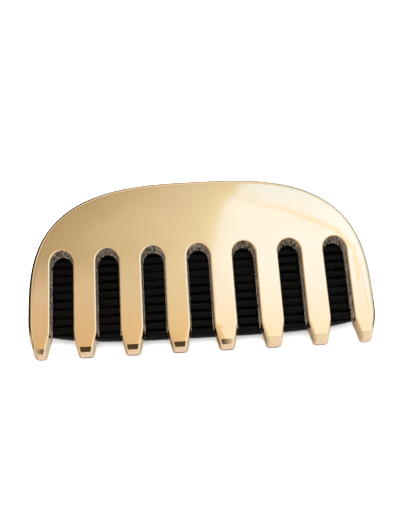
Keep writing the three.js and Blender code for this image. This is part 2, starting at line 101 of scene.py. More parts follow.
PAD_FRONT_Z = PLATE_BACK_Z - GAP
PAD_BACK_Z = PAD_FRONT_Z - RIB_HEIGHT - PAD_BASE
JAW_FRONT_Z = PAD_BACK_Z - GAP
JAW_BACK_Z = JAW_FRONT_Z - JAW_SHEET
JAW_LOW_Y = PAD_LOW_Y + PAD_OVERHANG

EAR_RADIUS = 2.3
BRACKET_HALF_WIDTH = 13.5
BRACKET_LOW_Y = 2.4
BRACKET_HIGH_Y = 11.4
BRACKET_FRONT_Z = PLATE_BACK_Z - GAP

LEVER_HALF_WIDTH = BRACKET_HALF_WIDTH - SHEET - GAP
LEVER_FOOT_Y = -9.0
LEVER_FOOT_END_Y = -0.8
LEVER_NECK_Y = 2.5
LEVER_BEND_Y = 9.5
LEVER_END_Y = 17.0
THUMB_GRIP_THICKNESS = 1.2
THUMB_GRIP_HALF_WIDTH = 9.0
THUMB_GRIP_LENGTH = 6.2
THUMB_GRIP_END_Y = LEVER_END_Y - 1.0

RIVET_RADIUS = 0.7
RIVET_HEAD_RADIUS = 1.25
RIVET_HEAD_HEIGHT = 0.6
BRACKET_RIVET_X = (-10.2, -3.4, 3.4, 10.2)
BRACKET_RIVET_Y = 9.2
LEVER_RIVET_X = (-8.0, 0.0, 8.0)
LEVER_RIVET_Y = -5.0
PIN_HEAD_LENGTH = 0.8
PIN_HEAD_RADIUS = 1.7

WIRE = 0.8
COIL_RADIUS = 1.75
COIL_TURNS = 3.5
COIL_PITCH = 1.0
COIL_INNER_X = 6.9
SLEEVE_HALF_LENGTH = 6.2
SLEEVE_RADIUS = 1.6
LEVER_NECK_Z = PIN.z - COIL_RADIUS - WIRE / 2 - GAP - SHEET / 2
ROUND_SIDES = 48


# ---- the clip frame ----

hinge = frame["record"]["behaviour"]["joints"][0]
CLIP_TURN = Matrix.Rotation(LEAN, 4, "X")
CLIP_PLACE = Matrix.Translation(Vector(hinge["pos_m"]) - CLIP_TURN @ (PIN * MM)) @ CLIP_TURN


def clip_point(point):
    """A clip-frame point in millimetres, as a row-frame point in metres."""
    return CLIP_PLACE @ (Vector(point) * MM)


# ---- camera ----

# The camera looks at the plate from the tooth side. TILT is how far it stands off the
# plate's normal, TURN is a slight look from one side, ROLL is its tilt about its own axis.
CAMERA_TILT = math.radians(-25.76)
CAMERA_TURN = math.radians(1.22)
CAMERA_ROLL = math.radians(3.67)
CAMERA_AIM = Vector((0.52, -3.44, 0))
CAMERA_DISTANCE = 211.2
CAMERA_LENS = 76.45


def make_camera():
    turn = (
        Matrix.Rotation(CAMERA_ROLL, 4, "Z")
        @ Matrix.Rotation(CAMERA_TILT, 4, "X")
        @ Matrix.Rotation(CAMERA_TURN, 4, "Y")
    )
    back_off = Matrix.Translation((-CAMERA_AIM.x, -CAMERA_AIM.y, -CAMERA_DISTANCE))
    in_clip = (back_off @ turn).inverted()
    data = bpy.data.cameras.new("camera")
    data.lens = CAMERA_LENS
    data.sensor_width = 36
    data.clip_start = 0.01
    data.clip_end = 10
    camera = bpy.data.objects.new("camera", data)
    bpy.context.scene.collection.objects.link(camera)
    camera.matrix_world = CLIP_PLACE @ Matrix.Diagonal((MM, MM, MM, 1)) @ in_clip
    camera.scale = (1, 1, 1)
    bpy.context.scene.camera = camera
    return in_clip.translation


CAMERA_IN_CLIP = make_camera()


# ---- meshes ----

class Shell:
    """Vertices and faces of one piece, in the clip frame, gathered part by part."""

    def __init__(self):
        self.points = []
        self.faces = []
        self.materials = []

    def add(self, points, faces):
        start = len(self.points)
        self.points.extend(Vector(point) for point in points)
        for face in faces:
            self.faces.append([start + i for i in face])
            self.materials.append(0)

    def loft(self, rings, materials=None, cap_last=True):
        """Joins rings of equal length, in order, with quads, and caps the ends."""
        count = len(rings[0])
        points = [point for ring in rings for point in ring]
        start = len(self.points)
        self.points.extend(Vector(point) for point in points)
        for r in range(len(rings) - 1):
            for i in range(count):
                j = (i + 1) % count
                a, b = start + r * count, start + (r + 1) * count
                self.faces.append([a + i, a + j, b + j, b + i])
                self.materials.append(materials[r] if materials else 0)
        self.faces.append([start + i for i in reversed(range(count))])
        self.materials.append(materials[0] if materials else 0)
        if cap_last:
            last = start + (len(rings) - 1) * count
            self.faces.append([last + i for i in range(count)])
            self.materials.append(materials[-1] if materials else 0)

    def build(self, name, body, materials, stands_for, smooth_angle=40):
        """Makes the piece. stands_for lists the CAD nodes that it replaces."""
        mesh = bpy.data.meshes.new(name)
        mesh.from_pydata([clip_point(p) for p in self.points], [], self.faces)
        for material in materials:
            mesh.materials.append(material)
        mesh.polygons.foreach_set("material_index", self.materials)
        mesh.validate()
        mesh.update()
        mesh.shade_smooth()
        mesh.set_sharp_from_angle(angle=math.radians(smooth_angle))
        piece = bpy.data.objects.new(name, mesh)
        bpy.context.scene.collection.objects.link(piece)
        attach(piece, body)
        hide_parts(*stands_for)


def outline_normals(outline):
    """The outward normal at each point of a counter-clockwise outline, and its mitre."""
    points = np.array(outline, float)
    along = np.roll(points, -1, axis=0) - points
    along /= np.linalg.norm(along, axis=1)[:, None]
    side = np.column_stack([along[:, 1], -along[:, 0]])
    both = side + np.roll(side, 1, axis=0)
    both /= np.linalg.norm(both, axis=1)[:, None]
    mitre = np.clip((both * side).sum(axis=1), 0.5, 1)
    return both, mitre


def inset(outline, distance):
    """The outline moved inwards by distance, a number or one number for each point."""
    normals, mitre = outline_normals(outline)
    return np.array(outline, float) - normals * (distance / mitre)[:, None]


def at_height(outline, z):
    return [(x, y, z) for x, y in outline]


def rectangle(half_x, low_y, high_y):
    return [(-half_x, low_y), (half_x, low_y), (half_x, high_y), (-half_x, high_y)]


def rounded_slab(shell, outline, low, high, edge):
    """A flat plate from z = low to z = high, with rounded edges."""
    steps = 3
    rings = []
    angles = [math.pi / 2 * i / steps for i in range(steps + 1)]
    for angle in angles:
        rings.append((edge * (1 - math.sin(angle)), low + edge * (1 - math.cos(angle))))
    for angle in reversed(angles):
        rings.append((edge * (1 - math.sin(angle)), high - edge * (1 - math.cos(angle))))
    flat = edge + 0.05
    rings.insert(0, (flat, low))
    rings.append((flat, high))
    count = len(outline)
    shell.loft([at_height(inset(outline, np.full(count, distance)), z) for distance, z in rings])


def round_corner(before, corner, after, radius, steps):
    """The points of the arc that rounds one corner of an outline."""
    before, corner, after = Vector(before), Vector(corner), Vector(after)
    to_before = (before - corner).normalized()
    to_after = (after - corner).normalized()
    half = math.acos(max(-1, min(1, to_before.dot(to_after)))) / 2
    middle = (to_before + to_after).normalized()
    centre = corner + middle * (radius / math.sin(half))
    first = corner + to_before * (radius / math.tan(half)) - centre
    last = corner + to_after * (radius / math.tan(half)) - centre
    sweep = math.atan2(first.x * last.y - first.y * last.x, first.dot(last))
    points = []
    for i in range(steps + 1):
        angle = sweep * i / steps
        turned_x = first.x * math.cos(angle) - first.y * math.sin(angle)
        turned_y = first.x * math.sin(angle) + first.y * math.cos(angle)
        points.append((centre.x + turned_x, centre.y + turned_y))
    return points


def round_outline(corners, radii, steps=6):
    """A polygon with its corners rounded."""
    points = []
    for i, corner in enumerate(corners):
        before = corners[i - 1]
        after = corners[(i + 1) % len(corners)]
        if radii[i]:
            points.extend(round_corner(before, corner, after, radii[i], steps))
        else:
            points.append(corner)
    return points


def turned(shell, profile, at, axis):
    """A round solid: (radius, distance along axis) points, from axis to axis."""
    axis = Vector(axis)
    across = axis.orthogonal().normalized()
    third = axis.cross(across)
    at = Vector(at)
    rings = []
    for radius, along in profile[1:-1]:
        ring = []
        for i in range(ROUND_SIDES):
            angle = 2 * math.pi * i / ROUND_SIDES
            out = across * math.cos(angle) + third * math.sin(angle)
            ring.append(at + axis * along + out * radius)
        rings.append(ring)
    shell.loft(rings)


def wire(shell, path, radius):
    """A round wire along a path, with softly broken ends."""
    sides = 16
    path = [Vector(point) for point in path]
    tangents = []
    for i in range(len(path)):
        ahead = path[min(i + 1, len(path) - 1)]
        behind = path[max(i - 1, 0)]
        tangents.append((ahead - behind).normalized())
    across = tangents[0].orthogonal().normalized()
    stations = []
    for point, tangent in zip(path, tangents):
        across = (across - tangent * across.dot(tangent)).normalized()
        stations.append((point, tangent, across.copy()))
    broken = radius * 0.25
    point, tangent, side = stations[0]
    rings = [(point, tangent, side, radius - broken), (point + tangent * broken, tangent, side, radius)]
    rings += [(*station, radius) for station in stations[1:-1]]
    point, tangent, side = stations[-1]
    rings.append((point - tangent * broken, tangent, side, radius))
    rings.append((point, tangent, side, radius - broken))
    lofted = []
    for point, tangent, side, reach in rings:
        third = tangent.cross(side)
        ring = []
        for i in range(sides):
            angle = 2 * math.pi * i / sides
            ring.append(point + (side * math.cos(angle) + third * math.sin(angle)) * reach)
        lofted.append(ring)
    shell.loft(lofted)


# ---- materials ----

class Nodes:
    """A short way to write a node material."""

    def __init__(self, name):
        self.material = bpy.data.materials.new(name)
        self.material.use_nodes = True
        self.tree = self.material.node_tree
        self.shader = self.tree.nodes["Principled BSDF"]
        self.place = self.node("ShaderNodeTexCoord").outputs["Object"]

    def node(self, kind, **values):
        node = self.tree.nodes.new(kind)
        for key, value in values.items():
            setattr(node, key, value)
        return node

    def fill(self, node, **numbers):
        """Sets a node's inputs, named as in From_Min."""
        for name, number in numbers.items():
            node.inputs[name.replace("_", " ")].default_value = number

    def feed(self, source, target):
        self.tree.links.new(source, target)

    def stretched(self, scale):
        """The clip-frame place, stretched: scale is repeats per metre along each axis."""
        rotate = self.node("ShaderNodeMapping")
        self.fill(rotate, Rotation=(-LEAN, 0, 0))
        self.feed(self.place, rotate.inputs["Vector"])
        mapping = self.node("ShaderNodeMapping")
        self.fill(mapping, Scale=scale)
        self.feed(rotate.outputs["Vector"], mapping.inputs["Vector"])
        return mapping.outputs["Vector"]

    def noise(self, scale, detail=3, roughness=0.5, stretch=(1, 1, 1)):
        noise = self.node("ShaderNodeTexNoise")
        self.feed(self.stretched(stretch), noise.inputs["Vector"])
        self.fill(noise, Scale=scale, Detail=detail, Roughness=roughness)
        return noise.outputs["Fac"]

    def range(self, value, low, high, new_low, new_high):
        node = self.node("ShaderNodeMapRange")
        self.feed(value, node.inputs["Value"])
        self.fill(node, From_Min=low, From_Max=high, To_Min=new_low, To_Max=new_high)
        return node.outputs["Result"]

    def ramp(self, value, stops):
        node = self.node("ShaderNodeValToRGB")
        self.feed(value, node.inputs["Fac"])
        elements = node.color_ramp.elements
        while len(elements) < len(stops):
            elements.new(0.5)
        for element, (position, colour) in zip(elements, stops):
            element.position = position
            element.color = (*colour, 1)
        return node.outputs["Color"]

    def mix(self, factor, first, second):
        node = self.node("ShaderNodeMix", data_type="RGBA")
        self.feed(factor, node.inputs["Factor"])
        for source, socket in ((first, node.inputs[6]), (second, node.inputs[7])):
            if isinstance(source, tuple):
                socket.default_value = (*source, 1)
            else:
                self.feed(source, socket)
        return node.outputs[2]

    def bump(self, height, strength, distance, before=None):
        """A bump on top of the normal that is before it, if one is given."""
        node = self.node("ShaderNodeBump")
        self.feed(height, node.inputs["Height"])
        self.fill(node, Strength=strength, Distance=distance)
        if before:
            self.feed(before, node.inputs["Normal"])
        return node.outputs["Normal"]

    def finish(self, colour, roughness, normal, metallic=0.0):
        self.feed(colour, self.shader.inputs["Base Color"])
        self.feed(roughness, self.shader.inputs["Roughness"])
        self.feed(normal, self.shader.inputs["Normal"])
        self.shader.inputs["Metallic"].default_value = metallic
        return self.material


def polished_gold():
    nodes = Nodes("polished_gold")
    cloud = nodes.noise(60, 3)
    colour = nodes.ramp(cloud, [(0.3, (0.83, 0.605, 0.335)), (0.7, (0.875, 0.65, 0.375))])
    smears = nodes.noise(260, 5, 0.6)
    roughness = nodes.range(smears, 0.35, 0.75, 0.02, 0.05)
    waves = nodes.bump(nodes.noise(45, 1), 0.12, 0.0004)
    grain = nodes.bump(nodes.noise(1800, 3, 0.6), 0.01, 0.00005, waves)
    return nodes.finish(colour, roughness, grain, 1.0)


def gold_wall_painted_shade_and_glints():
    """Slot walls: left rough from the casting, with tooling streaks along the thickness. The streaks'
    near-black is painted shade of the slot recesses, and the pale blotches are painted glints.
    """
    nodes = Nodes("gold_wall_painted_shade_and_glints")
    streaks = nodes.noise(1, 4, 0.6, (4200, 4200, 700))
    painted_glint_spots = nodes.noise(600, 4, 0.6)
    # The streaks run from near-black, which is painted shade in the slot recesses, to pale gold.
    dark = nodes.ramp(streaks, [(0.43, (0.07, 0.055, 0.045)), (0.6, (0.95, 0.78, 0.6))])
    # The pale blotches mixed in at random are painted glints.
    colour = nodes.mix(nodes.range(painted_glint_spots, 0.52, 0.7, 0, 0.6), dark, (0.95, 0.82, 0.65))
    roughness = nodes.range(streaks, 0.3, 0.7, 0.5, 0.26)
    normal = nodes.bump(streaks, 1.0, 0.00035)
    return nodes.finish(colour, roughness, normal, 0.75)


def satin_nickel(name, grain_along, tone=1.0):
    """Pressed or drawn steel, nickel plated, with fine brushing along one axis."""
    nodes = Nodes(name)
    stretch = [6500, 6500, 6500]
    stretch[grain_along] = 200
    brushing = nodes.noise(1, 4, 0.6, tuple(stretch))
    cloud = nodes.noise(120, 4)
    low = tuple(tone * c for c in (0.5, 0.48, 0.44))
    high = tuple(tone * c for c in (0.68, 0.66, 0.62))
    colour = nodes.ramp(cloud, [(0.3, low), (0.7, high)])
    roughness = nodes.range(brushing, 0.3, 0.7, 0.24, 0.32)
    normal = nodes.bump(brushing, 0.06, 0.00001)
    return nodes.finish(colour, roughness, normal, 1.0)


def black_rubber(name, lightness, rough_low, rough_high, shine=0.5):
    nodes = Nodes(name)
    cloud = nodes.noise(180, 4)
    low = tuple(lightness * c for c in (0.8, 0.8, 0.75))
    high = tuple(lightness * c for c in (1.25, 1.25, 1.2))
    colour = nodes.ramp(cloud, [(0.3, low), (0.7, high)])
    pores = nodes.noise(5200, 3, 0.6)
    roughness = nodes.range(cloud, 0.3, 0.7, rough_low, rough_high)
    normal = nodes.bump(pores, 0.25, 0.00003)
    nodes.shader.inputs["Specular IOR Level"].default_value = shine
    nodes.shader.inputs["Specular Tint"].default_value = (1.0, 0.95, 0.8, 1.0)
    return nodes.finish(colour, roughness, normal)


GOLD = polished_gold()
GOLD_WALL = gold_wall_painted_shade_and_glints()
NICKEL = satin_nickel("satin_nickel", 1)
NICKEL_PIN = satin_nickel("bright_nickel", 0, 1.1)
SPRING_STEEL = satin_nickel("spring_steel", 0, 0.62)
PAD_RUBBER = black_rubber("pad_rubber", 0.0008, 0.24, 0.36, 0.08)
GRIP_RUBBER = black_rubber("grip_rubber", 0.012, 0.5, 0.7)
SLEEVE_PLASTIC = black_rubber("sleeve_plastic", 0.03, 0.3, 0.42)


# ---- comb plate ----

def plate_half_width(y):
    """The plate's outer edge at height y, a superellipse about its widest line."""
    reach = PLATE_CROWN_HEIGHT if y > PLATE_WIDEST_Y else PLATE_FOOT_DEPTH
    part = min(abs(y - PLATE_WIDEST_Y) / reach, 1)
    return PLATE_HALF_WIDTH * (1 - part ** PLATE_CURVE_POWER) ** (1 / PLATE_CURVE_POWER)


def plate_rim():
    """The outer edge from the right outer tooth, over the crown, to the left one."""
    right = []
    foot_steps, crown_steps = 10, 90
    for i in range(foot_steps):
        y = RIM_SHOULDER_Y + (PLATE_WIDEST_Y - RIM_SHOULDER_Y) * i / foot_steps
        right.append((plate_half_width(y), y))
    power = 2 / PLATE_CURVE_POWER
    for i in range(crown_steps):
        angle = math.pi / 2 * i / crown_steps
        x = PLATE_HALF_WIDTH * math.cos(angle) ** power
        y = PLATE_WIDEST_Y + PLATE_CROWN_HEIGHT * math.sin(angle) ** power
        right.append((x, y))
    left = [(-x, y) for x, y in reversed(right)]
    return right + [(0, PLATE_WIDEST_Y + PLATE_CROWN_HEIGHT)] + left


def shoulder(corner, tip):
    """The soft bend where a tooth's straight side turns in towards its tip."""
    above = (corner[0], corner[1] + 4)
    return round_corner(above, corner, tip, TIP_SHOULDER_RADIUS, 6)


def along_taper(corner, tip, y):
    """The point of a tooth's tapered side at y."""
    part = (y - corner[1]) / (tip[1] - corner[1])
    return (corner[0] + (tip[0] - corner[0]) * part, y)


def comb_outline():
    """The plate's outline, whether each of its points lies on the outer rim, and for each
    tooth the indices of the points that bound the facet on its tip."""
    points = plate_rim()[:-1]
    on_rim = [True] * len(points)
    facets = []
    first = -(TOOTH_COUNT - 1) / 2 * TOOTH_PITCH
    half_tooth = (TOOTH_PITCH - SLOT_WIDTH) / 2
    rim_x = plate_half_width(RIM_SHOULDER_Y)
    arch_steps = 28
    for i in range(TOOTH_COUNT):
        centre = first + i * TOOTH_PITCH
        first_tooth, last_tooth = i == 0, i == TOOTH_COUNT - 1
        left_half = TIP_HALF_WIDTH - (RIM_TIP_INSET if first_tooth else 0)
        right_half = TIP_HALF_WIDTH - (RIM_TIP_INSET if last_tooth else 0)
        corners = [
            (-rim_x, RIM_SHOULDER_Y) if first_tooth else (centre - half_tooth, TIP_SHOULDER_Y),
            (centre - left_half, TIP_Y),
            (centre + right_half, TIP_Y),
            (rim_x, RIM_SHOULDER_Y) if last_tooth else (centre + half_tooth, TIP_SHOULDER_Y),
        ]
        left = [corners[0]] if first_tooth else shoulder(corners[0], corners[1])
        right = [corners[3]] if last_tooth else shoulder(corners[3], corners[2])[::-1]
        tip = [along_taper(corners[0], corners[1], TIP_FACET_Y)]
        left_radius = RIM_CORNER_RADIUS if first_tooth else TIP_CORNER_RADIUS
        right_radius = RIM_CORNER_RADIUS if last_tooth else TIP_CORNER_RADIUS
        tip += round_corner(*corners[0:3], left_radius, 7)
        tip += round_corner(*corners[1:4], right_radius, 7)
        tip += [along_taper(corners[3], corners[2], TIP_FACET_Y)]
        tip_start = len(points) + len(left)
        facets.append(list(range(tip_start, tip_start + len(tip))))
        points += left + tip + right
        on_rim += [first_tooth] * len(left) + [False] * len(tip) + [last_tooth] * len(right)
        if last_tooth:
            break
        for k in range(arch_steps + 1):
            angle = math.pi * (1 - k / arch_steps)
            x = centre + TOOTH_PITCH / 2 + SLOT_WIDTH / 2 * math.cos(angle)
            y = SLOT_TOP_Y - SLOT_ARCH_RISE * (1 - math.sin(angle))
            points.append((x, y))
            on_rim.append(False)
    return points[:-1], on_rim[:-1], facets


def edge_weights(outline, on_rim):
    """How far each outline point belongs to a tooth tip's end, to the outer rim, and to the
    arch at the top of a slot."""
    normals, _ = outline_normals(outline)
    to_tip, to_rim, to_arch = [], [], []
    for (_, y), normal, rim in zip(outline, normals, on_rim):
        near_tip = min(max((TIP_SHOULDER_Y - y) / 2, 0), 1)
        facing_down = max(-normal[1], 0)
        to_tip.append(near_tip * facing_down ** 3)
        to_rim.append(1 if rim else 0)
        to_arch.append((1 - near_tip) * facing_down ** 2 if not rim else 0)
    return np.array(to_tip), np.array(to_rim), np.array(to_arch)


def make_comb_plate():
    """Rings from the back face up over the walls to the front face, then the front's flats."""
    outline, on_rim, facets = comb_outline()
    count = len(outline)
    to_tip, to_rim, to_arch = edge_weights(outline, on_rim)
    in_slot = np.where(on_rim, 0.0, 1.0) * (1 - to_tip)
    rings, materials = [], []

    def ring(distance, z, material=0):
        moved = inset(outline, np.zeros(count) + distance)
        rings.append([[x, y, height] for (x, y), height in zip(moved, np.zeros(count) + z)])
        materials.append(material)

    back_steps = 7
    rolled = to_tip * TIP_ROLL[0]
    ring(rolled + BACK_BREAK + 0.05, PLATE_BACK_Z)
    for i in range(back_steps + 1):
        angle = math.pi / 2 * i / back_steps
        rise = BACK_BREAK * (1 - math.cos(angle))
        ring(rolled + BACK_BREAK * (1 - math.sin(angle)), PLATE_BACK_Z + rise)
    materials[-1] = 1

    lip_out, lip_rise = SLOT_LIP
    wall_low = PLATE_BACK_Z + BACK_BREAK + lip_rise + to_tip * TIP_ROLL[1]
    ring(in_slot * lip_out, wall_low, 1)
    reach, depth = [
        slot + (rim - slot) * to_rim + (arch - slot) * to_arch
        for slot, rim, arch in zip(EASE_SLOT, EASE_RIM, EASE_ARCH)
    ]
    wall_steps = 5
    for i in range(1, wall_steps):
        part = i / wall_steps
        distance = in_slot * (lip_out + SLOT_DRAFT * part)
        ring(distance, wall_low + (-depth - wall_low) * part, 1)
    wall_draft = in_slot * (lip_out + SLOT_DRAFT)
    front_steps = 10
    for i in range(front_steps + 1):
        angle = math.pi / 2 * i / front_steps
        ring(wall_draft + reach * (1 - math.cos(angle)), -depth * (1 - math.sin(angle)))
    ring(wall_draft + reach + 0.04, 0.0)

    facet_y = rings[-1][facets[0][-1]][1]
    for point in (point for ring_points in rings for point in ring_points):
        drop = TIP_FACET_SLOPE * max(facet_y - point[1], 0)
        point[2] -= drop * (point[2] - PLATE_BACK_Z) / -PLATE_BACK_Z

    shell = Shell()
    shell.loft(rings, materials, cap_last=False)
    for index, face in enumerate(shell.faces):
        ys = [outline[i % count][1] for i in face]
        if all(on_rim[i % count] for i in face) or min(ys) < TIP_SHOULDER_Y - 0.01:
            shell.materials[index] = 0
    face_start = (len(rings) - 1) * count
    in_facet = {i for facet in facets for i in facet[1:-1]}
    flat_faces = [[face_start + i for i in range(count) if i not in in_facet]]
    flat_faces += [[face_start + i for i in facet] for facet in facets]
    shell.faces += flat_faces
    shell.materials += [0] * len(flat_faces)
    materials = [GOLD, GOLD_WALL]
    shell.build("comb_plate_visual", "comb", materials, ["comb_plate"], 15)


make_comb_plate()


# ---- ribbed rubber ----

def jaw_outline(half_width, low_y, high_y):
    """The broad jaw: straight at the hinge side, gently bowed at the lip."""
    corner_low, corner_high = 2.0, 4.0
    steps = 60

    def lip(x):
        return low_y + PAD_LIP_RISE * abs(x / PAD_RISE_X) ** 4

    inner = half_width - corner_low
    points = []
    for i in range(steps + 1):
        x = inner * (-1 + 2 * i / steps)
        points.append((x, lip(x)))
    side_low = (half_width, lip(half_width))
    top = (half_width, high_y)
    low_corner = round_corner(points[-1], side_low, top, corner_low * 0.8, 6)
    crown = round_corner(side_low, top, (0, high_y), corner_high, 10)
    points += low_corner + crown
    points += [(-x, y) for x, y in reversed(crown)]
    points += [(-x, y) for x, y in reversed(low_corner)]
    return points


def rib_profile(phase):
    """Height of a rib, 0 to 1, at a phase of 0 to 1 across it. The crest is at 0.5."""
    return 1 - (2 * phase - 1) ** 2


def outline_span(outline, x):
    """The lowest and highest y of an outline at x."""
    crossings = []
    for i, (bx, by) in enumerate(outline):
        ax, ay = outline[i - 1]
        if ax != bx and (ax - x) * (bx - x) <= 0:
            crossings.append(ay + (by - ay) * (x - ax) / (bx - ax))
    return min(crossings), max(crossings)


def ribbed_pad(shell, outline, low_y, pitch, base, rib_height, columns, place, edge, wobble):
    """A pad whose ribs run along x: base thick from z = 0, with rib_height of rib on it, a
    little uneven by wobble. place takes the pad's own (x, y, z) to the clip frame."""
    half_width = max(x for x, _ in outline)
    high_y = max(y for _, y in outline)
    rows = int((high_y - low_y) / pitch * 14)
    rings = []
    for i in range(columns + 1):
        x = math.sin(math.pi * (i / columns - 0.5)) * (half_width - 0.01)
        span_low, span_high = outline_span(outline, x)
        edge_in = min(1, (half_width - abs(x)) / (2.4 * edge))
        column = []
        for k in range(rows + 1):
            y = span_low + (span_high - span_low) * k / rows
            phase = ((y - low_y) / pitch) % 1
            end_in = min(1, (y - span_low) / edge, (span_high - y) / edge)
            round_off = math.sqrt(max(0, end_in) * max(0, edge_in))
            wave = 0.06 * math.sin(x * 0.37 + y * 1.9) + 0.05 * math.sin(x * 0.9 - y * 0.7)
            height = rib_height * rib_profile(phase) * (0.92 + wobble * wave * 0.7) * round_off
            column.append(place((x, y, base - 0.5 * edge * (1 - round_off) + height)))
        column.append(place((x, span_high, 0)))
        column.append(place((x, span_low, 0)))
        rings.append(column)
    shell.loft(rings)


def make_grip_pad():
    shell = Shell()
    outline = jaw_outline(PAD_HALF_WIDTH, PAD_LOW_Y, PAD_HIGH_Y)

    def place(point):
        return (point[0], point[1], PAD_BACK_Z + point[2])

    ribbed_pad(shell, outline, PAD_LOW_Y, RIB_PITCH, PAD_BASE, RIB_HEIGHT, 120, place, 0.25, 1.0)
    shell.build("grip_pad_visual", "jaw", [PAD_RUBBER], ["grip_pad"], 60)


def make_thumb_grip():
    """The grip hangs under the lever's tab, and its ribs stand on the floor."""
    shell = Shell()
    low = THUMB_GRIP_END_Y - THUMB_GRIP_LENGTH
    corners = rectangle(THUMB_GRIP_HALF_WIDTH, low, THUMB_GRIP_END_Y)
    outline = round_outline(corners, [1.2] * 4)
    rib = 0.45
    base = THUMB_GRIP_THICKNESS - rib

    def place(point):
        x, y, z = point
        above_floor = THUMB_GRIP_THICKNESS - z
        slope = Vector((0, math.sin(LEAN), math.cos(LEAN)))
        return Vector((-x, y, floor_z(y))) + slope * above_floor

    ribbed_pad(shell, outline, low, 1.03, base, rib, 60, place, 0.2, 0.2)
    shell.build("thumb_grip_visual", "jaw", [GRIP_RUBBER], ["thumb_grip"], 60)


# ---- sheet metal ----

def sheet_along(shell, stations, thickness, across, edge=0.22):
    """A sheet that follows a path. Each station is (point, low, high): the sheet reaches from
    low to high of that point along the direction across."""
    across = Vector(across)
    points = [Vector(station[0]) for station in stations]
    rings = []
    corner_steps = 3

    def ring(i, shrink, shift):
        ahead = points[min(i + 1, len(points) - 1)]
        behind = points[max(i - 1, 0)]
        tangent = (ahead - behind).normalized()
        normal = across.cross(tangent).normalized()
        low, high = stations[i][1] + shrink, stations[i][2] - shrink
        half = thickness / 2 - shrink
        corner = min(edge, half * 0.98, (high - low) * 0.49)
        centre = points[i] + tangent * shift
        loop = []
        quarters = [(high - corner, half - corner, 0), (low + corner, half - corner, 1),
                    (low + corner, -half + corner, 2), (high - corner, -half + corner, 3)]
        for along, out, quarter in quarters:
            for k in range(corner_steps + 1):
                angle = math.pi / 2 * (quarter + k / corner_steps)
                reach = along + corner * math.cos(angle)
                rise = out + corner * math.sin(angle)
                loop.append(centre + across * reach + normal * rise)
        return loop

    last = len(stations) - 1
    rings.append(ring(0, edge * 0.9, 0))
    rings.append(ring(0, edge * 0.35, edge * 0.25))
    rings.append(ring(0, 0, edge))
    for i in range(1, last):
        rings.append(ring(i, 0, 0))
    rings.append(ring(last, 0, -edge))
    rings.append(ring(last, edge * 0.35, -edge * 0.25))
    rings.append(ring(last, edge * 0.9, 0))
    shell.loft(rings)


def smooth_path(corners, radii, step=0.35):
    """A path of (a, b) points with rounded bends, in even short steps."""
    bent = [corners[0]]
    for i in range(1, len(corners) - 1):
        bent += round_corner(corners[i - 1], corners[i], corners[i + 1], radii[i], 10)
    bent.append(corners[-1])
    path = [bent[0]]
    for a, b in zip(bent, bent[1:]):
        length = math.dist(a, b)
        pieces = max(1, int(length / step))
        for k in range(1, pieces + 1):
            path.append((a[0] + (b[0] - a[0]) * k / pieces, a[1] + (b[1] - a[1]) * k / pieces))
    return path


def floor_z(y):
    """z of the surface the clip lies on."""
    return JAW_BACK_Z - (y - JAW_LOW_Y) * math.tan(LEAN)


def lever_tab_z(y):
    return floor_z(y) + (THUMB_GRIP_THICKNESS + GAP + SHEET / 2) / math.cos(LEAN)


def ear_span(z, foot_z, foot_low, foot_high):
    """How far an ear reaches either side of the pin, at height z: a round end, then straight
    sides to its foot."""
    out = (z - PIN.z) * (1 if foot_z > PIN.z else -1)
    if out < 0:
        half = math.sqrt(max(EAR_RADIUS ** 2 - out ** 2, 0.01))
        return -half, half
    part = out / abs(foot_z - PIN.z)
    low = -EAR_RADIUS + (foot_low - PIN.y + EAR_RADIUS) * part
    high = EAR_RADIUS + (foot_high - PIN.y - EAR_RADIUS) * part
    return low, high


def make_ear(shell, side, middle_x, web_z, tip_z, foot_low, foot_high):
    """One ear: it leaves the web flat, bends through a right angle, and ends round the pin.
    It has no bore, so the pin runs through its sheet."""
    bend = 1.0
    inward = middle_x - 2.2
    corners = [(side * inward, web_z), (side * middle_x, web_z), (side * middle_x, tip_z)]
    path = smooth_path(corners, [0, bend, 0], 0.2)
    stations = []
    for x, z in path:
        low, high = ear_span(z, web_z, foot_low, foot_high)
        stations.append(((x, PIN.y, z), low, high))
    sheet_along(shell, stations, SHEET, (0, 1, 0))


def rivet_head(shell, x, y, face_z):
    """A low dome on the back of a sheet."""
    steps = 7
    rim_height = 0.18
    profile = [(0, -RIVET_HEAD_HEIGHT)]
    for i in range(steps + 1):
        angle = math.pi / 2 * (1 - i / steps)
        radius = RIVET_HEAD_RADIUS * math.cos(angle)
        rise = rim_height + (RIVET_HEAD_HEIGHT - rim_height) * math.sin(angle)
        profile.append((max(radius, 0.02), -rise))
    profile += [(RIVET_HEAD_RADIUS, -0.05), (RIVET_HEAD_RADIUS - 0.05, 0), (RIVET_RADIUS, 0)]
    profile += [(RIVET_RADIUS, GAP + 0.1), (0, GAP + 0.1)]
    turned(shell, profile, (x, y, face_z), (0, 0, 1))


def make_jaw_plate():
    shell = Shell()
    outline = jaw_outline(PAD_HALF_WIDTH - PAD_OVERHANG, JAW_LOW_Y, PAD_HIGH_Y)
    rounded_slab(shell, outline, JAW_BACK_Z, JAW_FRONT_Z, 0.25)
    shell.build("jaw_plate_visual", "jaw", [NICKEL], ["jaw_plate"])


def make_hinge_bracket():
    shell = Shell()
    middle_z = BRACKET_FRONT_Z - SHEET / 2
    half = BRACKET_HALF_WIDTH
    corners = rectangle(half - 0.9, BRACKET_LOW_Y, BRACKET_HIGH_Y)
    outline = round_outline(corners, [0.5, 0.5, 1.2, 1.2])
    rounded_slab(shell, outline, BRACKET_FRONT_Z - SHEET, BRACKET_FRONT_Z, 0.2)
    for side in (-1, 1):
        make_ear(shell, side, half - SHEET / 2, middle_z, PIN.z - EAR_RADIUS, BRACKET_LOW_Y,
                 PIN.y + EAR_RADIUS + 1)
    shell.build("hinge_bracket_visual", "comb", [NICKEL], ["hinge_bracket"])


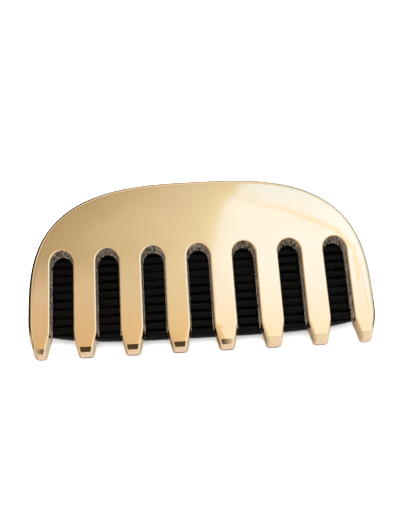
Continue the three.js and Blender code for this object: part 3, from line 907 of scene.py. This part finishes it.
def make_thumb_lever():
    shell = Shell()
    foot_z = JAW_BACK_Z - GAP - SHEET / 2
    corners = [
        (LEVER_FOOT_Y + 0.2, foot_z),
        (LEVER_FOOT_END_Y, foot_z),
        (LEVER_NECK_Y, LEVER_NECK_Z),
        (LEVER_BEND_Y, lever_tab_z(LEVER_BEND_Y)),
        (LEVER_END_Y - 0.25, lever_tab_z(LEVER_END_Y - 0.25)),
    ]
    foot_corner, thumb_corner = 2.0, 5.0
    stations = []
    for y, z in smooth_path(corners, [0, 1.2, 1.6, 3.0, 0], 0.25):
        half = LEVER_HALF_WIDTH
        from_foot = y - corners[0][0]
        from_end = corners[-1][0] - y
        if from_foot < foot_corner:
            half -= foot_corner - math.sqrt(foot_corner ** 2 - (foot_corner - from_foot) ** 2)
        if from_end < thumb_corner:
            half -= thumb_corner - math.sqrt(thumb_corner ** 2 - (thumb_corner - from_end) ** 2)
        stations.append(((0, y, z), -half, half))
    sheet_along(shell, stations, SHEET, (1, 0, 0))
    for side in (-1, 1):
        make_ear(shell, side, LEVER_HALF_WIDTH - SHEET / 2, LEVER_NECK_Z, PIN.z + EAR_RADIUS,
                 LEVER_NECK_Y - 0.2, LEVER_BEND_Y - 1.4)
    shell.build("thumb_lever_visual", "jaw", [NICKEL], ["thumb_lever"])


def make_rivets(kind, body, xs, y, sheet_back_z):
    for i, x in enumerate(xs):
        shell = Shell()
        rivet_head(shell, x, y, sheet_back_z - 0.02)
        name = f"{kind}_{i + 1}"
        shell.build(name + "_visual", body, [NICKEL_PIN], [name])


# ---- pin, sleeve and springs ----

def make_pin():
    """A domed head on the left, and a plain end with a broken edge on the right."""
    shell = Shell()
    head_x = BRACKET_HALF_WIDTH + GAP
    end_x = head_x + PIN_HEAD_LENGTH
    steps = 6
    profile = [(0, -end_x)]
    for i in range(steps + 1):
        angle = math.pi / 2 * (1 - i / steps)
        rise = PIN_HEAD_LENGTH * (0.25 + 0.75 * math.sin(angle))
        profile.append((max(PIN_HEAD_RADIUS * math.cos(angle), 0.03), -head_x - rise))
    profile += [(PIN_HEAD_RADIUS, -head_x - 0.08), (PIN_HEAD_RADIUS - 0.08, -head_x)]
    profile += [(PIN_RADIUS, -head_x), (PIN_RADIUS, end_x - 0.25)]
    profile += [(PIN_RADIUS - 0.12, end_x - 0.06), (PIN_RADIUS - 0.35, end_x), (0, end_x)]
    turned(shell, profile, PIN, (1, 0, 0))
    shell.build("hinge_pin_visual", "comb", [NICKEL_PIN], ["hinge_pin"])


def ring_on_pin(shell, inner, outer, low, high, edge):
    """A ring about the pin, with broken edges: its section closes on itself."""
    section = [
        (inner, low + edge), (inner + edge, low), (outer - edge, low), (outer, low + edge),
        (outer, high - edge), (outer - edge, high), (inner + edge, high), (inner, high - edge),
    ]
    count = len(section)
    points, faces = [], []
    for i in range(ROUND_SIDES):
        angle = 2 * math.pi * i / ROUND_SIDES
        for r, along in section:
            points.append(PIN + Vector((along, r * math.cos(angle), r * math.sin(angle))))
        a, b = i * count, ((i + 1) % ROUND_SIDES) * count
        for k in range(count):
            faces.append([a + k, a + (k + 1) % count, b + (k + 1) % count, b + k])
    shell.add(points, faces)


def make_collar_and_sleeve():
    shell = Shell()
    low = BRACKET_HALF_WIDTH + GAP
    ring_on_pin(shell, PIN_RADIUS + 0.1, PIN_HEAD_RADIUS, low, low + PIN_HEAD_LENGTH * 0.75, 0.1)
    shell.build("pin_collar_visual", "comb", [NICKEL_PIN], ["pin_collar"])
    shell = Shell()
    half = SLEEVE_HALF_LENGTH
    ring_on_pin(shell, PIN_RADIUS + 0.1, SLEEVE_RADIUS, -half, half, 0.12)
    name = "spring_sleeve"
    shell.build(name + "_visual", "comb", [SLEEVE_PLASTIC], [name])


def coil_point(side, turns):
    angle = math.pi / 2 + 2 * math.pi * turns
    return (
        side * (COIL_INNER_X + COIL_PITCH * turns),
        PIN.y + COIL_RADIUS * math.cos(angle),
        PIN.z + COIL_RADIUS * math.sin(angle),
    )


def blend_points(first, last, steps):
    first, last = Vector(first), Vector(last)
    return [first.lerp(last, i / steps) for i in range(steps + 1)]


def make_springs():
    """The coil and its fixed leg go with the comb. The lever's leg goes with the jaw, and
    carries a short arc inside the coil's end, which shows as the spring winds up."""
    clearance = WIRE / 2 + GAP / 2
    for side, name in ((-1, "spring_left"), (1, "spring_right")):
        under_bracket = BRACKET_FRONT_Z - SHEET - clearance
        fixed_end = (side * COIL_INNER_X, BRACKET_HIGH_Y - 1, under_bracket)
        path = blend_points(fixed_end, coil_point(side, 0), 14)[:-1]
        coil_end = COIL_TURNS - 0.12
        steps = int(coil_end * 48)
        path += [Vector(coil_point(side, coil_end * i / steps)) for i in range(steps + 1)]
        shell = Shell()
        wire(shell, path, WIRE / 2)
        shell.build(name + "_coil", "comb", [SPRING_STEEL], [name])

        coil_outer_x = COIL_INNER_X + COIL_PITCH * COIL_TURNS
        free_end = (side * coil_outer_x, LEVER_BEND_Y, LEVER_NECK_Z + SHEET / 2 + clearance)
        arc_start = COIL_TURNS - 0.25
        arc = [Vector(coil_point(side, arc_start + 0.25 * i / 14)) for i in range(15)]
        arc += blend_points(coil_point(side, COIL_TURNS), free_end, 12)[1:]
        shell = Shell()
        wire(shell, arc, WIRE / 2 - 0.01)
        shell.build(name + "_leg", "jaw", [SPRING_STEEL], [name])


make_grip_pad()
make_thumb_grip()
make_jaw_plate()
make_hinge_bracket()
make_thumb_lever()
make_rivets("bracket_rivet", "comb", BRACKET_RIVET_X, BRACKET_RIVET_Y, BRACKET_FRONT_Z - SHEET)
make_rivets("lever_rivet", "jaw", LEVER_RIVET_X, LEVER_RIVET_Y, JAW_BACK_Z - GAP - SHEET)
make_pin()
make_collar_and_sleeve()
make_springs()


# ---- floor, light and backdrop ----

def staged(name, mesh, material):
    """An object that is part of the studio and not of the clip."""
    mesh.materials.append(material)
    thing = bpy.data.objects.new(name, mesh)
    bpy.context.scene.collection.objects.link(thing)
    return thing


def staged_rectangle(name, half_x, low_y, high_y, material, face=(0, 1, 2, 3)):
    mesh = bpy.data.meshes.new(name)
    mesh.from_pydata(at_height(rectangle(half_x, low_y, high_y), 0), [], [face])
    return staged(name, mesh, material)


def glossy_only(card):
    """Leaves a card visible to reflections only."""
    for seer in ("camera", "diffuse", "shadow", "transmission", "volume_scatter"):
        setattr(card, "visible_" + seer, False)


def make_floor():
    nodes = Nodes("floor_paper")
    cloud = nodes.noise(6, 3)
    colour = nodes.ramp(cloud, [(0.3, (0.9, 0.9, 0.895)), (0.7, (0.92, 0.92, 0.915))])
    roughness = nodes.range(cloud, 0.3, 0.7, 0.7, 0.8)
    normal = nodes.bump(nodes.noise(900, 3), 0.05, 0.0001)
    size = 1.6
    floor = staged_rectangle("floor", size, -size, size, nodes.finish(colour, roughness, normal))
    floor.visible_glossy = False


class Light(Nodes):
    """A node material that only glows, built from plain numbers of its own coordinates."""

    def __init__(self, name):
        super().__init__(name)
        self.tree.nodes.remove(self.shader)
        split = self.node("ShaderNodeSeparateXYZ")
        self.feed(self.place, split.inputs["Vector"])
        self.x, self.y, self.z = split.outputs

    def math(self, operation, *values):
        node = self.node("ShaderNodeMath", operation=operation)
        for value, socket in zip(values, node.inputs):
            if isinstance(value, (int, float)):
                socket.default_value = value
            else:
                self.feed(value, socket)
        return node.outputs["Value"]

    def product(self, first, second):
        return self.math("MULTIPLY", first, second)

    def fade(self, value, start, full):
        """0 up to start, rising to 1 at full. full may be the lower of the two."""
        return self.range(value, start, full, 0, 1)

    def levels(self, value, stops, interpolation="LINEAR"):
        """Colours at values, given as (value, colour) stops from low to high."""
        low, high = stops[0][0], stops[-1][0]
        scaled = [((at - low) / (high - low), colour) for at, colour in stops]
        result = self.ramp(self.range(value, low, high, 0, 1), scaled)
        result.node.color_ramp.interpolation = interpolation
        return result

    def inside(self, value, low, high, soft):
        """1 where value is between low and high, 0 outside, with soft borders."""
        above = self.range(value, low - soft, low + soft, 0, 1)
        below = self.range(value, high - soft, high + soft, 1, 0)
        return self.product(above, below)

    def multiply(self, first, second, factor=1.0):
        node = self.node("ShaderNodeMix", data_type="RGBA", blend_type="MULTIPLY")
        sockets = (node.inputs[0], node.inputs[6], node.inputs[7])
        for value, socket in zip((factor, first, second), sockets):
            if isinstance(value, tuple):
                socket.default_value = (*value, 1)
            elif isinstance(value, float):
                socket.default_value = value
            else:
                self.feed(value, socket)
        return node.outputs[2]

    def glow(self, colour, strength):
        emission = self.node("ShaderNodeEmission")
        self.feed(colour, emission.inputs["Color"])
        emission.inputs["Strength"].default_value = strength
        surface = self.tree.nodes["Material Output"].inputs["Surface"]
        self.feed(emission.outputs["Emission"], surface)
        return self.material


# Card colours are written as parts of the brightest one, which is BRIGHTEST times white paper.
BRIGHTEST = 2.5


def glow(*colour):
    return tuple(c / BRIGHTEST for c in colour)


def make_sky_card():
    """A painted softbox above the clip, which only reflections see. It isn't plain light, and it
    is laid out for the main view. The card is scaled so that its own x and y are those of the
    plate point that mirrors it to the main camera, and its colours there are about the photo's
    over the gold's own. So it is a coarse copy of the photo's reflections."""
    height = 300.0
    spread = height / CAMERA_IN_CLIP.z
    place = Matrix.Translation((-spread * CAMERA_IN_CLIP.x, -spread * CAMERA_IN_CLIP.y, height))
    facing_down = (3, 2, 1, 0)
    card = staged_rectangle("sky_card", 75.0, -60.0, 45.0, sky_light(), facing_down)
    scale = Matrix.Diagonal((1 + spread, 1 + spread, 1, 1))
    card.matrix_world = CLIP_PLACE @ Matrix.Diagonal((MM, MM, MM, 1)) @ place @ scale
    glossy_only(card)


def sky_light():
    light = Light("sky_light")
    ripple = light.node("ShaderNodeTexNoise")
    light.fill(ripple, Scale=0.12, Detail=1.0)
    light.feed(light.place, ripple.inputs["Vector"])
    waver = light.range(ripple.outputs["Fac"], 0.3, 0.7, -1.0, 1.0)
    above_slots = light.math("MAXIMUM", light.math("SUBTRACT", light.y, 2.0), 0.0)
    lean = light.product(above_slots, -0.6)
    x = light.math("ADD", light.math("ADD", light.x, waver), lean)
    over_plate = light.levels(x, [
        (-36, glow(0.46, 0.41, 0.32)),
        (-25, glow(0.62, 0.58, 0.48)),
        (-16, glow(0.78, 0.75, 0.66)),
        (-8, glow(0.86, 0.85, 0.84)),
        (-1, glow(0.95, 0.97, 0.94)),
        (1.8, glow(1.02, 1.07, 1.04)),
        (4, glow(1.14, 1.36, 1.8)),
        (9, glow(1.18, 1.44, 2.05)),
        (34, glow(1.25, 1.5, 2.25)),
    ])
    over_teeth = light.levels(x, [
        (-33, glow(0.82, 0.77, 0.76)),
        (-24, glow(0.86, 0.81, 0.8)),
        (-13, glow(0.88, 0.88, 0.86)),
        (-4, glow(0.97, 1.0, 1.0)),
        (0.5, glow(1.0, 1.06, 1.04)),
        (2.5, glow(1.16, 1.36, 1.85)),
        (9, glow(1.2, 1.46, 2.05)),
        (34, glow(1.22, 1.5, 2.25)),
    ])
    across = light.mix(light.fade(light.y, -2, -9), over_plate, over_teeth)
    along = light.levels(light.y, [
        (-22, (1.0, 0.84, 0.64)),
        (-15, (1.0, 0.9, 0.78)),
        (-10, (0.98, 0.95, 0.91)),
        (-4, (1.0, 1.0, 1.0)),
        (5, (1.0, 1.0, 1.0)),
        (12, (0.93, 0.93, 0.93)),
    ])
    colour = light.multiply(across, along)
    seam_tint, seam, beyond = softbox_seam(light)
    colour = light.multiply(colour, (0.97, 1.02, 1.06), beyond)
    return light.glow(light.multiply(colour, seam_tint, seam), BRIGHTEST)


def softbox_seam(light):
    """The softbox's warm seam: a curve that runs down towards the right, then steeply down.
    It is traced from the reflection in the photo, and drawn in axes turned by 45 degrees, where
    it is a single arch. Returns its tint, where it is, and what lies beyond it."""
    half_root = math.sqrt(0.5)
    along = light.product(light.math("SUBTRACT", light.x, light.y), half_root)
    across = light.product(light.math("ADD", light.x, light.y), half_root)
    tallest = 20.0
    arch = light.levels(along, [
        (0, (12.2 / tallest,) * 3),
        (8, (16.2 / tallest,) * 3),
        (17, (19.1 / tallest,) * 3),
        (21, (18.9 / tallest,) * 3),
        (24.5, (17.2 / tallest,) * 3),
        (32, (11.0 / tallest,) * 3),
    ], "CARDINAL")
    height = light.product(arch, tallest)
    offset = light.math("SUBTRACT", across, height)
    seam = light.inside(offset, -0.45, 0.45, 0.3)
    started = light.range(along, 0, 14, 0.3, 1)
    beyond = light.fade(offset, 0, 4)
    return (1.0, 0.84, 0.56), light.product(seam, started), beyond


def make_reflection_dome():
    """All that the metal mirrors besides the softbox: a sphere around the clip that only
    reflections see. It is fixed, and laid out for the main view."""
    mesh = bpy.data.meshes.new("reflection_dome")
    sphere = bmesh.new()
    bmesh.ops.create_icosphere(sphere, subdivisions=5, radius=1)
    sphere.to_mesh(mesh)
    sphere.free()
    dome = staged("reflection_dome", mesh, dome_light())
    dome.matrix_world = CLIP_TURN @ Matrix.Scale(1.4, 4)
    glossy_only(dome)


def dome_light():
    """Painted in two ways: over the dome's flat map, which is a point's x and y over 1 + z, so
    that straight up is the middle and the horizon is the circle of radius 1, and over the
    slope of the metal that mirrors each point to the camera."""
    light = Light("dome_light")
    flatten = light.math("MAXIMUM", light.math("ADD", light.z, 1.0), 0.02)
    x = light.math("DIVIDE", light.x, flatten)
    y = light.math("DIVIDE", light.y, flatten)
    colour = light.levels(x, [
        (-2.5, glow(0.55, 0.5, 0.48)),
        (-1.0, glow(0.72, 0.68, 0.66)),
        (-0.55, glow(0.84, 0.82, 0.8)),
        (-0.3, glow(0.8, 0.77, 0.78)),
        (0.0, glow(0.95, 0.95, 1.0)),
        (0.35, glow(1.1, 1.2, 1.4)),
        (0.8, glow(1.0, 1.05, 1.15)),
        (2.5, glow(0.75, 0.75, 0.8)),
    ])
    colour = paint_rim(light, colour)
    facet_patch = light.product(
        light.inside(x, -0.08, 0.022, 0.003), light.inside(y, -0.32, -0.175, 0.01)
    )
    colour = light.multiply(colour, (0.1, 0.08, 0.06), facet_patch)
    colour = paint_low_parts(light, colour)
    return light.glow(colour, BRIGHTEST)


def mirror_slope(light):
    """The x, y and z of the unit normal of metal that mirrors a dome point to the main camera,
    which is half way between the two directions."""
    parts = [light.math("ADD", own, far) for own, far in
             zip((light.x, light.y, light.z), CAMERA_IN_CLIP.normalized())]
    squares = [light.product(part, part) for part in parts]
    total = light.math("ADD", light.math("ADD", squares[0], squares[1]), squares[2])
    length = light.math("SQRT", light.math("MAXIMUM", total, 0.0001))
    return [light.math("DIVIDE", part, length) for part in parts]


def paint_rim(light, colour):
    """Dark where the plate's left edge mirrors it, pale then beige where the right edge does,
    and dark where the last tooth's outer side does. The steepness limits keep all of this off
    the flat of the plate in other views. On the crown they can be looser."""
    slope_x, slope_y, slope_z = mirror_slope(light)
    on_rim = light.inside(slope_y, -0.15, 0.8, 0.04)
    on_crown = light.inside(slope_y, 0.27, 0.8, 0.04)
    steep_rim = light.product(light.fade(slope_z, 0.87, 0.83), on_rim)
    steep_crown = light.product(light.fade(slope_z, 0.93, 0.89), on_crown)
    steep = light.math("MAXIMUM", steep_rim, steep_crown)
    left_edge = light.product(light.fade(slope_x, -0.15, -0.3), steep)
    colour = light.multiply(colour, (0.05, 0.035, 0.03), left_edge)

    right_glint = light.product(light.inside(slope_x, 0.18, 0.6, 0.03), on_rim)
    colour = light.mix(right_glint, colour, glow(1.12, 1.3, 1.62))
    leaning_rim = light.product(light.fade(slope_z, 0.89, 0.85), on_rim)
    leaning_crown = light.product(light.fade(slope_z, 0.96, 0.92), on_crown)
    leaning = light.math("MAXIMUM", leaning_rim, leaning_crown)
    leaning = light.product(leaning, light.fade(slope_y, -0.09, -0.03))
    right_edge = light.product(light.fade(slope_x, 0.12, 0.2), leaning)
    colour = light.mix(right_edge, colour, glow(0.58, 0.74, 1.0))

    low_right = light.product(
        light.fade(slope_x, 0.45, 0.55), light.inside(slope_y, -0.25, -0.07, 0.02)
    )
    low_right = light.product(low_right, light.fade(slope_z, 0.74, 0.71))
    return light.multiply(colour, (0.12, 0.09, 0.07), low_right)


def paint_low_parts(light, colour):
    """Dark low down behind the clip, pale low in front of it, and dark straight below."""
    level_square = light.math("SUBTRACT", 1.0001, light.product(light.z, light.z))
    heading = light.math("DIVIDE", light.y, light.math("SQRT", level_square))
    behind = light.product(light.fade(heading, 0.5, 0.75), light.fade(light.z, 0.3, 0.1))
    behind = light.product(behind, light.range(light.x, -0.3, 0.3, 1, 0.4))
    colour = light.multiply(colour, (0.2, 0.17, 0.15), behind)
    in_front = light.product(light.fade(heading, -0.4, -0.65), light.fade(light.z, -0.1, -0.3))
    colour = light.mix(in_front, colour, glow(0.95, 0.88, 1.02))
    straight_down = light.fade(light.z, -0.955, -0.975)
    return light.multiply(colour, (0.2, 0.15, 0.12), straight_down)


def make_world():
    """Brighter than white, so that the clip's shadow on the floor is faint."""
    world = bpy.data.worlds.new("studio")
    world.use_nodes = True
    background = world.node_tree.nodes["Background"]
    background.inputs["Color"].default_value = (1, 1, 1, 1)
    background.inputs["Strength"].default_value = 3.0
    bpy.context.scene.world = world


make_floor()
make_sky_card()
make_reflection_dome()
make_world()
bpy.context.scene.view_settings.view_transform = "Standard"
